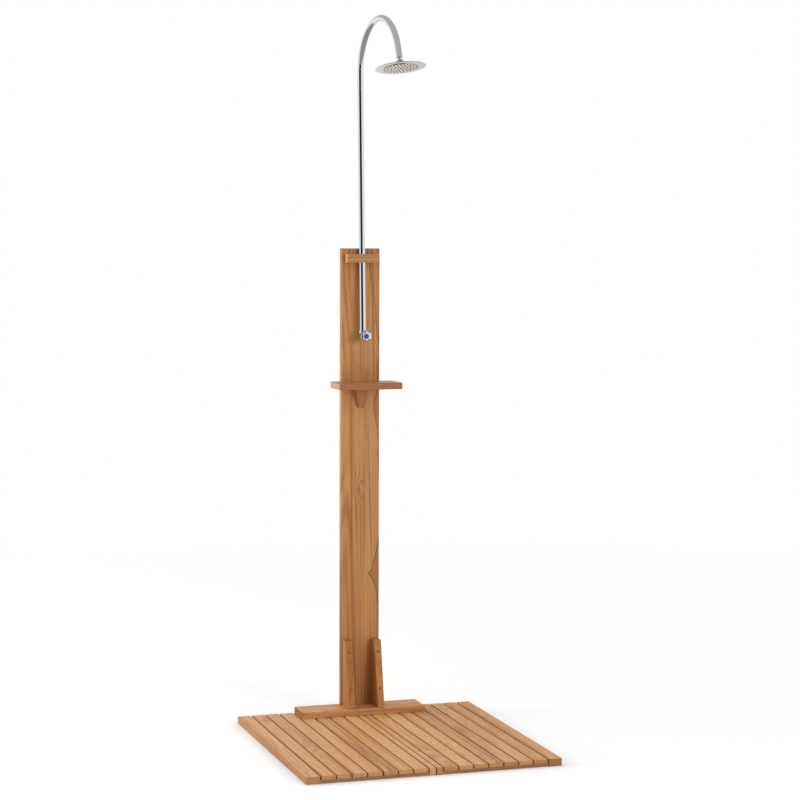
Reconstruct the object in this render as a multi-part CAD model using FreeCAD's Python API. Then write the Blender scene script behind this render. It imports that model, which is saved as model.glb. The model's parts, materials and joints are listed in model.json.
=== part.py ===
"""Outdoor shower post: a teak slatted tray, a teak post with shelf, and a chrome riser.

Millimetres. +Z is up, +X is the right-hand side seen from the front, and +Y runs to
the back, where the post stands. The origin is the centre of the tray's underside.
"""
import FreeCAD
import Part
import math
import os

V = FreeCAD.Vector

# ---------------------------------------------------------------- driving sizes
# Tray: two slatted panels side by side
tray_depth = 790.0
slats_per_panel = 7
slat_width = 40.5
slat_gap = 4.0
slat_thickness = 12.0
border_width = 40.0
centre_rail_width = 18.0
panel_gap = 3.0
slat_chamfer = 1.2

# Runners under the slats, tenoned into the boards at each side of a panel
runner_thickness = 10.0
runner_width = 35.0
runner_setback = 3.0
tenon_length = 8.0
tenon_width = 20.0
tenon_thickness = 5.0
tenon_clearance = 0.1

# Steel plates that tie the two panels together from below
link_plate_length = 32.0
link_plate_width = 30.0
link_plate_thickness = 2.0
link_plate_spacing = 300.0
link_plate_clearance = 0.1

# Foot board on the tray, under the post
foot_board_length = 392.0
foot_board_depth = 100.0
foot_board_thickness = 19.0
board_chamfer = 1.5

# Post
post_offset = 8.5
post_width = 122.0
post_thickness = 23.0
post_top = 1452.0

# Gussets between foot board and post
gusset_thickness = 21.0
gusset_inset = 4.0
gusset_height = 205.0
gusset_foot_depth = 74.0
gusset_top_depth = 35.0
gusset_corner_radius = 5.0

# Shelf and the wedge-shaped bracket under it
shelf_top = 1046.0
shelf_width = 200.0
shelf_depth = 102.0
shelf_thickness = 20.0
shelf_shift = 3.5
bracket_height = 62.0
bracket_top_width = 40.0
bracket_foot_width = 22.0
bracket_top_depth = 31.0
bracket_foot_depth = 4.0

# Block that holds the riser against the post, its centre block_drop below the post's top
block_drop = 30.0
block_width = 100.0
block_height = 26.0
block_depth = 28.0
block_corner_radius = 4.0
block_groove_clearance = 0.2

# Riser with its gooseneck: its axis stands off the post's face at the block, and leans
tube_radius = 10.0
riser_offset_at_block = 13.5
riser_lean = 2.305
bend_start_height = 1976.5
bend_radius = 153.0
arm_turn = 5.1
arm_end_tilt = 21.0
arm_tail_length = 30.0

# Valve body: the barrel's nose stands in front of the riser, the cavity goes in from it
valve_height = 1186.0
valve_radius = 13.5
valve_nose = 14.0
cavity_radius = 8.5
cavity_depth = 17.0
inlet_bore_radius = 6.5
inlet_bore_depth = 40.0
socket_boss_radius = 12.5
socket_boss_height = 16.5
socket_floor = 11.0
socket_clearance = 0.05

# Shank through the post with its locknut, and the threaded inlet behind it
shank_radius = 12.0
shank_proud = 1.0
post_hole_clearance = 0.4
locknut_across_flats = 32.0
locknut_thickness = 7.0
locknut_clearance = 0.1
inlet_thread_radius = 10.4
inlet_thread_length = 14.0

# Headwork: the bonnet screwed into the barrel, and the spindle through it
bonnet_clearance = 0.1
bonnet_hex_across_flats = 21.0
bonnet_hex_height = 6.0
spindle_radius = 4.0
spindle_tip_radius = 3.2
spindle_clearance = 0.05
spindle_seat_gap = 1.0

# Knob with its index cap
knob_reach = 25.5
knob_lobes = 6
knob_radius = 18.5
knob_valley_radius = 15.8
knob_lobe_radius = 6.0
knob_depth = 16.0
knob_recess_depth = 3.0
index_cap_radius = 7.0
index_cap_thickness = 2.2
index_cap_clearance = 0.1

# Ball joint between the arm and the head
ball_radius = 6.0
ball_centre_drop = 12.0
ball_gap = 0.4
ball_flat_drop = 4.5
neck_radius = 3.6
arm_end_shoulder = 1.5
swivel_ring_radius = 6.5
swivel_ring_thickness = 1.5
swivel_ring_clearance = 0.05
nut_radius = 10.0
nut_mouth_radius = 5.6
nut_ceiling = 2.6
nut_top = 4.2
nut_chamfer = 2.0
nut_skirt_drop = 7.2

# Shower head, measured down its own axis from the ball's centre
spigot_radius = 9.0
spigot_clearance = 0.1
spigot_top_drop = 1.4
head_radius = 75.0
head_hub_drop = 7.8
head_edge_drop = 17.6
head_base_drop = 19.5
head_tilt = 10.7
head_turn = 16.0

# Spray face under the head, and the rubber nozzles through it
face_plate_radius = 53.0
face_plate_thickness = 1.5
nozzle_rings = 3
nozzle_pitch = 15.0
nozzle_sides = 6
nozzle_root_radius = 1.8
nozzle_hole_clearance = 0.1
nozzle_end_radius = 1.2
nozzle_proud = 1.4

# ---------------------------------------------------------------- worked-out places
tray_thickness = runner_thickness + slat_thickness
slat_field = slats_per_panel * slat_width + (slats_per_panel + 1) * slat_gap
rail_inner = panel_gap / 2
rail_outer = rail_inner + centre_rail_width
border_inner = rail_outer + slat_field
border_outer = border_inner + border_width
tray_front = -tray_depth / 2
tray_back = tray_depth / 2
foot_board_top = tray_thickness + foot_board_thickness
post_front = tray_back - post_thickness
bracket_top = shelf_top - shelf_thickness
gusset_top = foot_board_top + gusset_height
gusset_shift = post_width / 2 - gusset_inset - gusset_thickness / 2
block_centre_height = post_top - block_drop
riser_lean_slope = math.tan(math.radians(riser_lean))
riser_offset_at_valve = (riser_offset_at_block
                         + (block_centre_height - valve_height) * riser_lean_slope)
valve_length = riser_offset_at_valve + valve_nose
cavity_floor = valve_length - cavity_depth
knob_front_offset = valve_length + knob_reach
knob_base = knob_front_offset - knob_depth
riser_foot = V(post_offset, post_front - riser_offset_at_valve, valve_height)
valve_origin = V(post_offset, post_front, valve_height)

OUT = "parts"
FRONT = V(0, -1, 0)
BACK = V(0, 1, 0)
UP = V(0, 0, 1)


# ---------------------------------------------------------------- shape helpers
def box(x, y, z):
    """A block between three (low, high) pairs."""
    size = (x[1] - x[0], y[1] - y[0], z[1] - z[0])
    return Part.makeBox(size[0], size[1], size[2], V(x[0], y[0], z[0]))


def span(side, near, far):
    """The (low, high) pair from near to far, on the left (-1) or right (+1) side."""
    return (near, far) if side > 0 else (-far, -near)


def prism(corners, along):
    """A polygon through the corners, extruded by the vector along."""
    face = Part.Face(Part.makePolygon(corners + corners[:1]))
    return face.extrude(along)


def turned(points):
    """A solid turned about Z from a closed outline of (radius, height) points."""
    corners = [V(radius, 0, height) for radius, height in points]
    face = Part.Face(Part.makePolygon(corners + corners[:1]))
    return face.revolve(V(0, 0, 0), UP, 360)


def cylinder(radius, low, high):
    """A cylinder on Z between two heights."""
    return Part.makeCylinder(radius, high - low, V(0, 0, low))


def aim(shape, point, direction):
    """The shape moved so that its origin is at point and its Z runs along direction."""
    moved = shape.copy()
    moved.Placement = FreeCAD.Placement(point, FreeCAD.Rotation(UP, direction))
    return moved


def all_at(axis, value):
    """A test for edges that lie wholly where this coordinate has this value."""
    def test(edge):
        places = [getattr(vertex.Point, axis) for vertex in edge.Vertexes]
        return all(abs(place - value) < 1e-6 for place in places)
    return test


def clear_of(axis, value):
    """A test for edges that don't lie wholly where this coordinate has this value."""
    inside = all_at(axis, value)
    return lambda edge: not inside(edge)


def chamfered(shape, width, chosen):
    """The shape with a chamfer on every edge that chosen(edge) accepts."""
    return shape.makeChamfer(width, [edge for edge in shape.Edges if chosen(edge)])


def hexagon(across_flats, low, high):
    """A hexagonal prism on Z between two heights."""
    corner = across_flats / math.sqrt(3)
    angles = [math.radians(60 * i) for i in range(6)]
    points = [V(corner * math.cos(a), corner * math.sin(a), low) for a in angles]
    return prism(points, V(0, 0, high - low))


# ---------------------------------------------------------------- tray
def runner_spans():
    """The front, middle and back runners' (low, high) places along Y."""
    front = tray_front + runner_setback
    back = tray_back - runner_setback
    return {"front": (front, front + runner_width),
            "middle": (-runner_width / 2, runner_width / 2),
            "back": (back - runner_width, back)}


def tenon_box(x, y, extra):
    """The block of a runner's tenon, or its mortise when extra is more than zero."""
    middle_y = (y[0] + y[1]) / 2
    half_y = tenon_width / 2 + extra
    middle_z = runner_thickness / 2
    half_z = tenon_thickness / 2 + extra
    return box(x, (middle_y - half_y, middle_y + half_y), (middle_z - half_z, middle_z + half_z))


def tray_runner(side, y):
    """A cross runner under the slats of one panel, with a tenon at each end."""
    body = box(span(side, rail_outer, border_inner), y, (0, runner_thickness))
    reach = span(side, rail_outer - tenon_length, border_inner + tenon_length)
    return body.fuse(tenon_box(reach, y, 0)).removeSplitter()


def tray_board(x, z):
    """A board from the tray's front to its back, with eased arrises on top."""
    board = box(x, (tray_front, tray_back), z)
    return chamfered(board, slat_chamfer, all_at("z", z[1]))


def mortises(side, near, far):
    """The three runners' mortises between two distances from the tray's centre."""
    return [tenon_box(span(side, near, far), y, tenon_clearance) for y in runner_spans().values()]


def tray_border(side):
    """The wide outer board of one panel."""
    board = tray_board(span(side, border_inner, border_outer), (0, tray_thickness))
    return board.cut(mortises(side, border_inner, border_inner + tenon_length + tenon_clearance))


def link_plates(extra):
    """The plates that tie the panels together, or their pockets with some extra room."""
    half_x = link_plate_length / 2 + extra
    half_y = link_plate_width / 2 + extra
    return [box((-half_x, half_x), (y - half_y, y + half_y), (0, link_plate_thickness + extra))
            for y in (-link_plate_spacing, 0, link_plate_spacing)]


def centre_rail(side):
    """The narrow board where the two panels meet, let in for the link plates."""
    rail = tray_board(span(side, rail_inner, rail_outer), (0, tray_thickness))
    rail = rail.cut(mortises(side, rail_outer - tenon_length - tenon_clearance, rail_outer))
    return rail.cut(link_plates(link_plate_clearance))


def slat_left_edges():
    """Every slat's low X, from the left border to the right border."""
    pitch = slat_width + slat_gap
    right = [rail_outer + slat_gap + i * pitch for i in range(slats_per_panel)]
    left = [-(x + slat_width) for x in reversed(right)]
    return left + right


def tray_slat(x):
    """A slat that lies on the three runners."""
    return tray_board((x, x + slat_width), (runner_thickness, tray_thickness))


# ---------------------------------------------------------------- foot and post
def foot_board():
    """The board across the tray that the post stands on."""
    half = foot_board_length / 2
    board = box((-half, half), (tray_back - foot_board_depth, tray_back),
                (tray_thickness, foot_board_top))
    return chamfered(board, board_chamfer, all_at("z", foot_board_top))


def gusset(side):
    """A tapered board on edge in front of the post, with a rounded top corner."""
    x = post_offset + side * gusset_shift - gusset_thickness / 2
    toe = V(x, post_front - gusset_foot_depth, foot_board_top)
    nose = V(x, post_front - gusset_top_depth, gusset_top)
    corners = [V(x, post_front, foot_board_top), toe, nose, V(x, post_front, gusset_top)]
    board = prism(corners, V(gusset_thickness, 0, 0))

    def is_nose(edge):
        return all(abs(vertex.Y - nose.y) + abs(vertex.Z - nose.z) < 1e-6
                   for vertex in edge.Vertexes)

    return board.makeFillet(gusset_corner_radius, [e for e in board.Edges if is_nose(e)])


def post():
    """The upright board, with the hole for the valve's shank."""
    half = post_width / 2
    board = box((post_offset - half, post_offset + half), (post_front, tray_back),
                (foot_board_top, post_top))
    board = chamfered(board, board_chamfer, clear_of("z", foot_board_top))
    hole = cylinder(shank_radius + post_hole_clearance, 0, post_thickness)
    return board.cut(aim(hole, valve_origin, BACK))


# ---------------------------------------------------------------- shelf
def shelf():
    """The shelf across the post's face, with eased front and ends."""
    centre = post_offset + shelf_shift
    half = shelf_width / 2
    board = box((centre - half, centre + half), (post_front - shelf_depth, post_front),
                (bracket_top, shelf_top))
    return chamfered(board, board_chamfer, clear_of("y", post_front))


def shelf_bracket():
    """The wedge under the shelf: a tapered front view crossed with a tapered side view."""
    foot = bracket_top - bracket_height
    left = post_offset - bracket_top_width / 2
    right = post_offset + bracket_top_width / 2
    front_view = prism([V(left, post_front, bracket_top), V(right, post_front, bracket_top),
                        V(post_offset + bracket_foot_width / 2, post_front, foot),
                        V(post_offset - bracket_foot_width / 2, post_front, foot)],
                       FRONT * bracket_top_depth)
    side_view = prism([V(left, post_front, bracket_top), V(left, post_front, foot),
                       V(left, post_front - bracket_foot_depth, foot),
                       V(left, post_front - bracket_top_depth, bracket_top)],
                      V(bracket_top_width, 0, 0))
    return front_view.common(side_view)


# ---------------------------------------------------------------- riser
def riser_placement():
    """Stands a shape made on Z along the leaning riser, its X turned to the arm's side."""
    turn = FreeCAD.Rotation(UP, -90 + arm_turn)
    lean = FreeCAD.Rotation(V(1, 0, 0), -riser_lean)
    return FreeCAD.Placement(riser_foot, lean.multiply(turn))


def riser_rise():
    """The length of the riser's axis from the valve to the start of the bend."""
    return (bend_start_height - valve_height) / math.cos(math.radians(riser_lean))


def arm_path():
    """The riser's centre line in its own plane, with the arm's end and its direction."""
    rise = riser_rise()
    sweep = math.radians(180 - arm_end_tilt + riser_lean)

    def on_bend(angle):
        return V(bend_radius * (1 - math.cos(angle)), 0, rise + bend_radius * math.sin(angle))

    heading = V(math.sin(sweep), 0, math.cos(sweep))
    end = on_bend(sweep) + heading * arm_tail_length
    upright = Part.LineSegment(V(0, 0, socket_floor), V(0, 0, rise))
    bend = Part.Arc(on_bend(0), on_bend(sweep / 2), on_bend(sweep))
    tail = Part.LineSegment(on_bend(sweep), end)
    return Part.Wire([upright.toShape(), bend.toShape(), tail.toShape()]), end, heading


def ball_end():
    """The neck and ball brazed on the arm's end, with the ball's centre at zero."""
    neck_low = math.sqrt(ball_radius ** 2 - neck_radius ** 2)
    plug_low = ball_centre_drop - arm_end_shoulder
    top = ball_centre_drop + arm_end_shoulder
    outline = [V(0, 0, -ball_flat_drop),
               V(math.sqrt(ball_radius ** 2 - ball_flat_drop ** 2), 0, -ball_flat_drop),
               V(neck_radius, 0, neck_low), V(neck_radius, 0, plug_low),
               V(tube_radius - arm_end_shoulder, 0, plug_low),
               V(tube_radius, 0, ball_centre_drop), V(tube_radius, 0, top), V(0, 0, top)]
    edges = [Part.LineSegment(a, b).toShape() for a, b in zip(outline[2:], outline[3:])]
    edges.append(Part.LineSegment(outline[-1], outline[0]).toShape())
    edges.append(Part.LineSegment(outline[0], outline[1]).toShape())
    edges.append(Part.Arc(outline[1], V(ball_radius, 0, 0), outline[2]).toShape())
    face = Part.Face(Part.Wire(Part.__sortEdges__(edges)))
    return face.revolve(V(0, 0, 0), UP, 360)


def riser_tube():
    """One tube up from the valve, round the gooseneck and down to its ball end."""
    path, end, heading = arm_path()
    section = Part.Wire(Part.makeCircle(tube_radius, V(0, 0, socket_floor)))
    tube = path.makePipeShell([section], True, True)
    ball = aim(ball_end(), end + heading * ball_centre_drop, heading * -1)
    tube = tube.fuse(ball).removeSplitter()
    tube.Placement = riser_placement()
    return tube


def riser_block():
    """The block on the post's face, grooved behind for the riser to pass through."""
    half = block_width / 2
    front = post_front - block_depth
    half_height = block_height / 2
    body = box((post_offset - half, post_offset + half), (front, post_front),
               (block_centre_height - half_height, block_centre_height + half_height))

    def is_front_corner(edge):
        upright = abs(edge.Vertexes[0].Z - edge.Vertexes[-1].Z) > half_height
        return upright and all(abs(vertex.Y - front) < 1e-6 for vertex in edge.Vertexes)

    body = body.makeFillet(block_corner_radius, [e for e in body.Edges if is_front_corner(e)])
    reach = tube_radius + block_groove_clearance
    groove = Part.makeCylinder(reach, 2 * block_height)
    groove = groove.fuse(Part.makeBox(2 * reach, block_depth, 2 * block_height, V(-reach, 0, 0)))
    lean = FreeCAD.Rotation(V(1, 0, 0), -riser_lean)
    start = V(0, 0, block_centre_height - valve_height - block_height)
    groove.Placement = FreeCAD.Placement(riser_foot + lean.multVec(start), lean)
    return body.cut(groove)


# ---------------------------------------------------------------- valve
def valve_body():
    """Barrel, riser socket, shank and threaded inlet in one casting."""
    shank_end = post_thickness + locknut_thickness + shank_proud
    tail = shank_end + inlet_thread_length
    barrel = cylinder(valve_radius, 0, valve_length)
    shank = cylinder(shank_radius, -shank_end, 0)
    thread = cylinder(inlet_thread_radius, -tail, -shank_end)
    along_axis = aim(barrel.fuse([shank, thread]), valve_origin, FRONT)
    up_riser = riser_placement()
    boss = cylinder(socket_boss_radius, 0, socket_boss_height)
    boss.Placement = up_riser
    socket = cylinder(tube_radius + socket_clearance, socket_floor, socket_boss_height)
    socket.Placement = up_riser
    cavity = cylinder(cavity_radius, cavity_floor, valve_length)
    inlet = cylinder(inlet_bore_radius, -tail, inlet_bore_depth - tail)
    hollows = aim(cavity.fuse(inlet), valve_origin, FRONT)
    return along_axis.fuse(boss).removeSplitter().cut([hollows, socket])


def inlet_locknut():
    """The hexagon nut that draws the valve against the post."""
    nut = hexagon(locknut_across_flats, 0, locknut_thickness)
    nut = nut.cut(cylinder(shank_radius + locknut_clearance, 0, locknut_thickness))
    return aim(nut, V(post_offset, tray_back, valve_height), BACK)


def valve_bonnet():
    """The headwork's bonnet, screwed into the barrel, with the spindle's guide."""
    top = valve_length + bonnet_hex_height
    body = cylinder(cavity_radius - bonnet_clearance, cavity_floor, valve_length)
    collar = hexagon(bonnet_hex_across_flats, valve_length, top)
    guide = cylinder(spindle_radius + spindle_clearance, cavity_floor, top)
    return aim(body.fuse(collar).cut(guide), valve_origin, FRONT)


def valve_spindle():
    """The spindle from inside the bonnet to its tip in the knob."""
    shaft = cylinder(spindle_radius, cavity_floor + spindle_seat_gap, knob_base)
    tip = cylinder(spindle_tip_radius, knob_base, knob_front_offset - knob_recess_depth)
    return aim(shaft.fuse(tip), valve_origin, FRONT)


def knob_outline():
    """The lobed outline: round lobes joined by hollow valleys, all in tangent arcs."""
    step = math.pi / knob_lobes
    lobe_centre = knob_radius - knob_lobe_radius
    reach = lobe_centre * math.cos(step)
    valley_radius = ((knob_lobe_radius ** 2 - lobe_centre ** 2 - knob_valley_radius ** 2
                      + 2 * reach * knob_valley_radius)
                     / (2 * (knob_valley_radius - reach - knob_lobe_radius)))

    def polar(radius, angle):
        return V(radius * math.sin(angle), radius * math.cos(angle), 0)

    def joint(lobe, side):
        centre = polar(lobe_centre, 2 * lobe * step)
        hollow = polar(knob_valley_radius + valley_radius, (2 * lobe + side) * step)
        return centre + (hollow - centre).normalize() * knob_lobe_radius

    edges = []
    for lobe in range(knob_lobes):
        tip = polar(knob_radius, 2 * lobe * step)
        dip = polar(knob_valley_radius, (2 * lobe + 1) * step)
        edges.append(Part.Arc(joint(lobe, -1), tip, joint(lobe, 1)).toShape())
        edges.append(Part.Arc(joint(lobe, 1), dip, joint(lobe + 1, -1)).toShape())
    return Part.Wire(edges)


def valve_knob():
    """The lobed knob, bored for the spindle's tip and recessed in front for its cap."""
    body = Part.Face(knob_outline()).extrude(V(0, 0, knob_depth))
    bore = cylinder(spindle_tip_radius + spindle_clearance, 0, knob_depth)
    recess = cylinder(index_cap_radius + index_cap_clearance,
                      knob_depth - knob_recess_depth, knob_depth)
    return aim(body.cut([bore, recess]), valve_origin + FRONT * knob_base, FRONT)


def index_cap():
    """The coloured cap that snaps into the knob's recess."""
    cap = cylinder(index_cap_radius, knob_front_offset - index_cap_thickness, knob_front_offset)
    return aim(cap, valve_origin, FRONT)


# ---------------------------------------------------------------- ball joint and head
def ball_centre():
    """The ball's centre, and the arm's direction back up from it."""
    path, end, heading = arm_path()
    place = riser_placement()
    centre = place.multVec(end + heading * ball_centre_drop)
    return centre, place.Rotation.multVec(heading * -1)


def swivel_ring():
    """The loose ring round the neck, between the arm's end and the nut."""
    bore = neck_radius + swivel_ring_clearance
    top = ball_centre_drop - arm_end_shoulder
    low = top - swivel_ring_thickness
    ring = turned([(bore, low), (swivel_ring_radius, low), (swivel_ring_radius, top), (bore, top)])
    return aim(ring, *ball_centre())


def on_head(shape):
    """The shape placed with its origin at the ball's centre and its Z up the head's axis."""
    tilt = math.radians(head_tilt)
    turn = math.radians(head_turn)
    axis = V(-math.sin(tilt) * math.sin(turn), math.sin(tilt) * math.cos(turn), math.cos(tilt))
    return aim(shape, ball_centre()[0], axis)


def collar_nut():
    """The chamfered nut that closes over the ball and screws on the head's spigot."""
    bore = spigot_radius + spigot_clearance
    return on_head(turned([(nut_mouth_radius, nut_ceiling), (nut_mouth_radius, nut_top),
                           (nut_radius - nut_chamfer, nut_top),
                           (nut_radius, nut_top - nut_chamfer), (nut_radius, -nut_skirt_drop),
                           (bore, -nut_skirt_drop), (bore, nut_ceiling)]))


def head_shell():
    """The head's shallow conical body, with the ball's socket in its spigot."""
    socket = ball_radius + ball_gap
    drops = [(0, socket), (socket, socket), (socket, spigot_top_drop),
             (spigot_radius, spigot_top_drop),
             (spigot_radius, head_hub_drop), (nut_radius, head_hub_drop),
             (head_radius, head_edge_drop), (head_radius, head_base_drop), (0, head_base_drop)]
    return on_head(turned([(radius, -drop) for radius, drop in drops]))


def nozzle_centres():
    """Nozzle centres: one in the middle and six more in each ring outwards."""
    centres = [V(0, 0, 0)]
    for ring in range(1, nozzle_rings + 1):
        for i in range(6 * ring):
            angle = math.pi * i / (3 * ring)
            centres.append(V(math.cos(angle), math.sin(angle), 0) * (ring * nozzle_pitch))
    return centres


def nozzle_ring(centre, radius, drop):
    """The closed round of corners about one nozzle's axis."""
    angles = [2 * math.pi * i / nozzle_sides for i in range(nozzle_sides + 1)]
    return [centre + V(radius * math.cos(a), radius * math.sin(a), -drop) for a in angles]


def nozzle(centre):
    """One tapered nozzle, from its root behind the plate to its tip."""
    end_drop = head_base_drop + face_plate_thickness + nozzle_proud
    root = nozzle_ring(centre, nozzle_root_radius, head_base_drop)
    tip = nozzle_ring(centre, nozzle_end_radius, end_drop)
    loops = [root, tip]
    for i in range(nozzle_sides):
        loops.append([root[i], root[i + 1], tip[i + 1], tip[i], root[i]])
    return Part.makeSolid(Part.makeShell([Part.Face(Part.makePolygon(loop)) for loop in loops]))


def face_plate():
    """The flat spray face under the head, pierced for every nozzle."""
    rim = Part.Wire(Part.makeCircle(face_plate_radius, V(0, 0, -head_base_drop)))
    radius = nozzle_root_radius + nozzle_hole_clearance
    holes = [Part.makePolygon(nozzle_ring(centre, radius, head_base_drop))
             for centre in nozzle_centres()]
    face = Part.Face([rim] + holes)
    face.validate()
    return on_head(face.extrude(V(0, 0, -face_plate_thickness)))


def spray_nozzles():
    """The rubber nozzles, seated in the plate's holes with their tips standing out."""
    return on_head(Part.makeCompound([nozzle(centre) for centre in nozzle_centres()]))


# ---------------------------------------------------------------- all pieces
def all_parts():
    """Every piece by its node's name."""
    parts = {}
    for side, name in ((-1, "left"), (1, "right")):
        parts["tray_border_" + name] = tray_border(side)
        parts["tray_centre_rail_" + name] = centre_rail(side)
        for place, y in runner_spans().items():
            parts["tray_runner_" + name + "_" + place] = tray_runner(side, y)
        parts["gusset_" + name] = gusset(side)
    for number, x in enumerate(slat_left_edges(), start=1):
        parts["tray_slat_%02d" % number] = tray_slat(x)
    parts["panel_link_plates"] = Part.makeCompound(link_plates(0))
    parts["foot_board"] = foot_board()
    parts["post"] = post()
    parts["shelf"] = shelf()
    parts["shelf_bracket"] = shelf_bracket()
    parts["riser_block"] = riser_block()
    parts["riser_tube"] = riser_tube()
    parts["valve_body"] = valve_body()
    parts["inlet_locknut"] = inlet_locknut()
    parts["valve_bonnet"] = valve_bonnet()
    parts["valve_spindle"] = valve_spindle()
    parts["valve_knob"] = valve_knob()
    parts["knob_index_cap"] = index_cap()
    parts["swivel_ring"] = swivel_ring()
    parts["collar_nut"] = collar_nut()
    parts["head_shell"] = head_shell()
    parts["face_plate"] = face_plate()
    parts["spray_nozzles"] = spray_nozzles()
    return parts


os.makedirs(OUT, exist_ok=True)
for node, shape in all_parts().items():
    shape.exportStep(os.path.join(OUT, node + ".step"))
    print("%-26s solids %2d valid %s volume %9.1f" % (node, len(shape.Solids),
                                                      shape.isValid(), shape.Volume))
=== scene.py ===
"""Looks for the outdoor shower post: teak tray and post, chrome riser, valve and head.

Metres. +Z up, +X right seen from the front, +Y to the back, as in the frame.
"""
import json
import math

import bmesh
import bpy
import numpy as np
from mathutils import Matrix, Vector


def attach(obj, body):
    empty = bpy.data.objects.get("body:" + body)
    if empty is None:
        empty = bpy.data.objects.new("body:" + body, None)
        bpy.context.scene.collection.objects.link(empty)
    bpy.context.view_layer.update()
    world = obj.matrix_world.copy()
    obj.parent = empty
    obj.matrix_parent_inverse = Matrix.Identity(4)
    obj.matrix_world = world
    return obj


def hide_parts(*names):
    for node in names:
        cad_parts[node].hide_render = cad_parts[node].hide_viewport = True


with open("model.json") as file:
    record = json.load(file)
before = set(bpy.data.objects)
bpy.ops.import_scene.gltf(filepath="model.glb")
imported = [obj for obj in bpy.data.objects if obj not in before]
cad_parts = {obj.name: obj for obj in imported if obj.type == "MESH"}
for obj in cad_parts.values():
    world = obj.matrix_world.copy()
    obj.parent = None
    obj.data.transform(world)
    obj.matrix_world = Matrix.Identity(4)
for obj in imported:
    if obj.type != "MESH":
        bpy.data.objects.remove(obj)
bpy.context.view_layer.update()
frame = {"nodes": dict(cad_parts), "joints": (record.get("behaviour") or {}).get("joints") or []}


# ---------------------------------------------------------------- tray runners
# Rough-sawn cross battens under the slats, three to each panel, tenoned into the
# boards at both sides. They are the same teak as the slats, coloured darker as painted
# shade from the slats above.
def feed(node, inputs):
    """Joins each input, by name or number, to a socket, or sets it to a plain value."""
    for key, value in inputs.items():
        if isinstance(value, bpy.types.NodeSocket):
            node.id_data.links.new(value, node.inputs[key])
        else:
            node.inputs[key].default_value = value


def add_node(tree, kind, inputs, **settings):
    """A shader node of this kind, set up and fed; what comes back are its outputs."""
    node = tree.nodes.new("ShaderNode" + kind)
    for name, value in settings.items():
        setattr(node, name, value)
    feed(node, inputs)
    return node.outputs


def add_math(tree, operation, *values):
    """A math node's result on sockets or numbers."""
    return add_node(tree, "Math", dict(enumerate(values)), operation=operation)[0]


def add_vector_math(tree, operation, *vectors):
    """A vector math node's result, which for a length or a dot product is one value."""
    outputs = add_node(tree, "VectorMath", dict(enumerate(vectors)), operation=operation)
    return outputs["Value" if operation in ("LENGTH", "DISTANCE", "DOT_PRODUCT") else "Vector"]


def add_noise(tree, vector, stretch, detail, roughness=0.5, distortion=0.0):
    """A noise texture's value over the vector, times a factor for each axis."""
    stretched = add_vector_math(tree, "MULTIPLY", vector, stretch)
    return add_node(tree, "TexNoise", {"Vector": stretched, "Scale": 1.0, "Detail": detail,
                                       "Roughness": roughness, "Distortion": distortion})["Fac"]


def add_range(tree, value, low, high, out_low=0.0, out_high=1.0):
    """The value moved from one range into another, smoothly and clamped."""
    return add_node(tree, "MapRange", {"Value": value, "From Min": low, "From Max": high,
                                       "To Min": out_low, "To Max": out_high},
                    interpolation_type="SMOOTHSTEP")["Result"]


def add_mix(tree, factor, a, b):
    """Two colours mixed by a factor. The node's colours go in at 6 and 7 and out at 2."""
    return add_node(tree, "Mix", {0: factor, 6: a, 7: b}, data_type="RGBA")[2]


def start_group(name, inputs, outputs):
    """An empty node group: its tree, the sockets that bring its inputs, and its last node.

    Inputs are name: default, and a default of 1, 3 or 4 numbers makes a value, a
    vector or a colour. An output is a value, unless it is named Color.
    """
    tree = bpy.data.node_groups.new(name, "ShaderNodeTree")
    for label, value in inputs.items():
        kind = {1: "Float", 3: "Vector", 4: "Color"}[np.size(value)]
        socket = tree.interface.new_socket(label, in_out="INPUT", socket_type="NodeSocket" + kind)
        socket.default_value = value
    for label in outputs:
        kind = "Color" if label == "Color" else "Float"
        tree.interface.new_socket(label, in_out="OUTPUT", socket_type="NodeSocket" + kind)
    return tree, tree.nodes.new("NodeGroupInput").outputs, tree.nodes.new("NodeGroupOutput")


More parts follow.
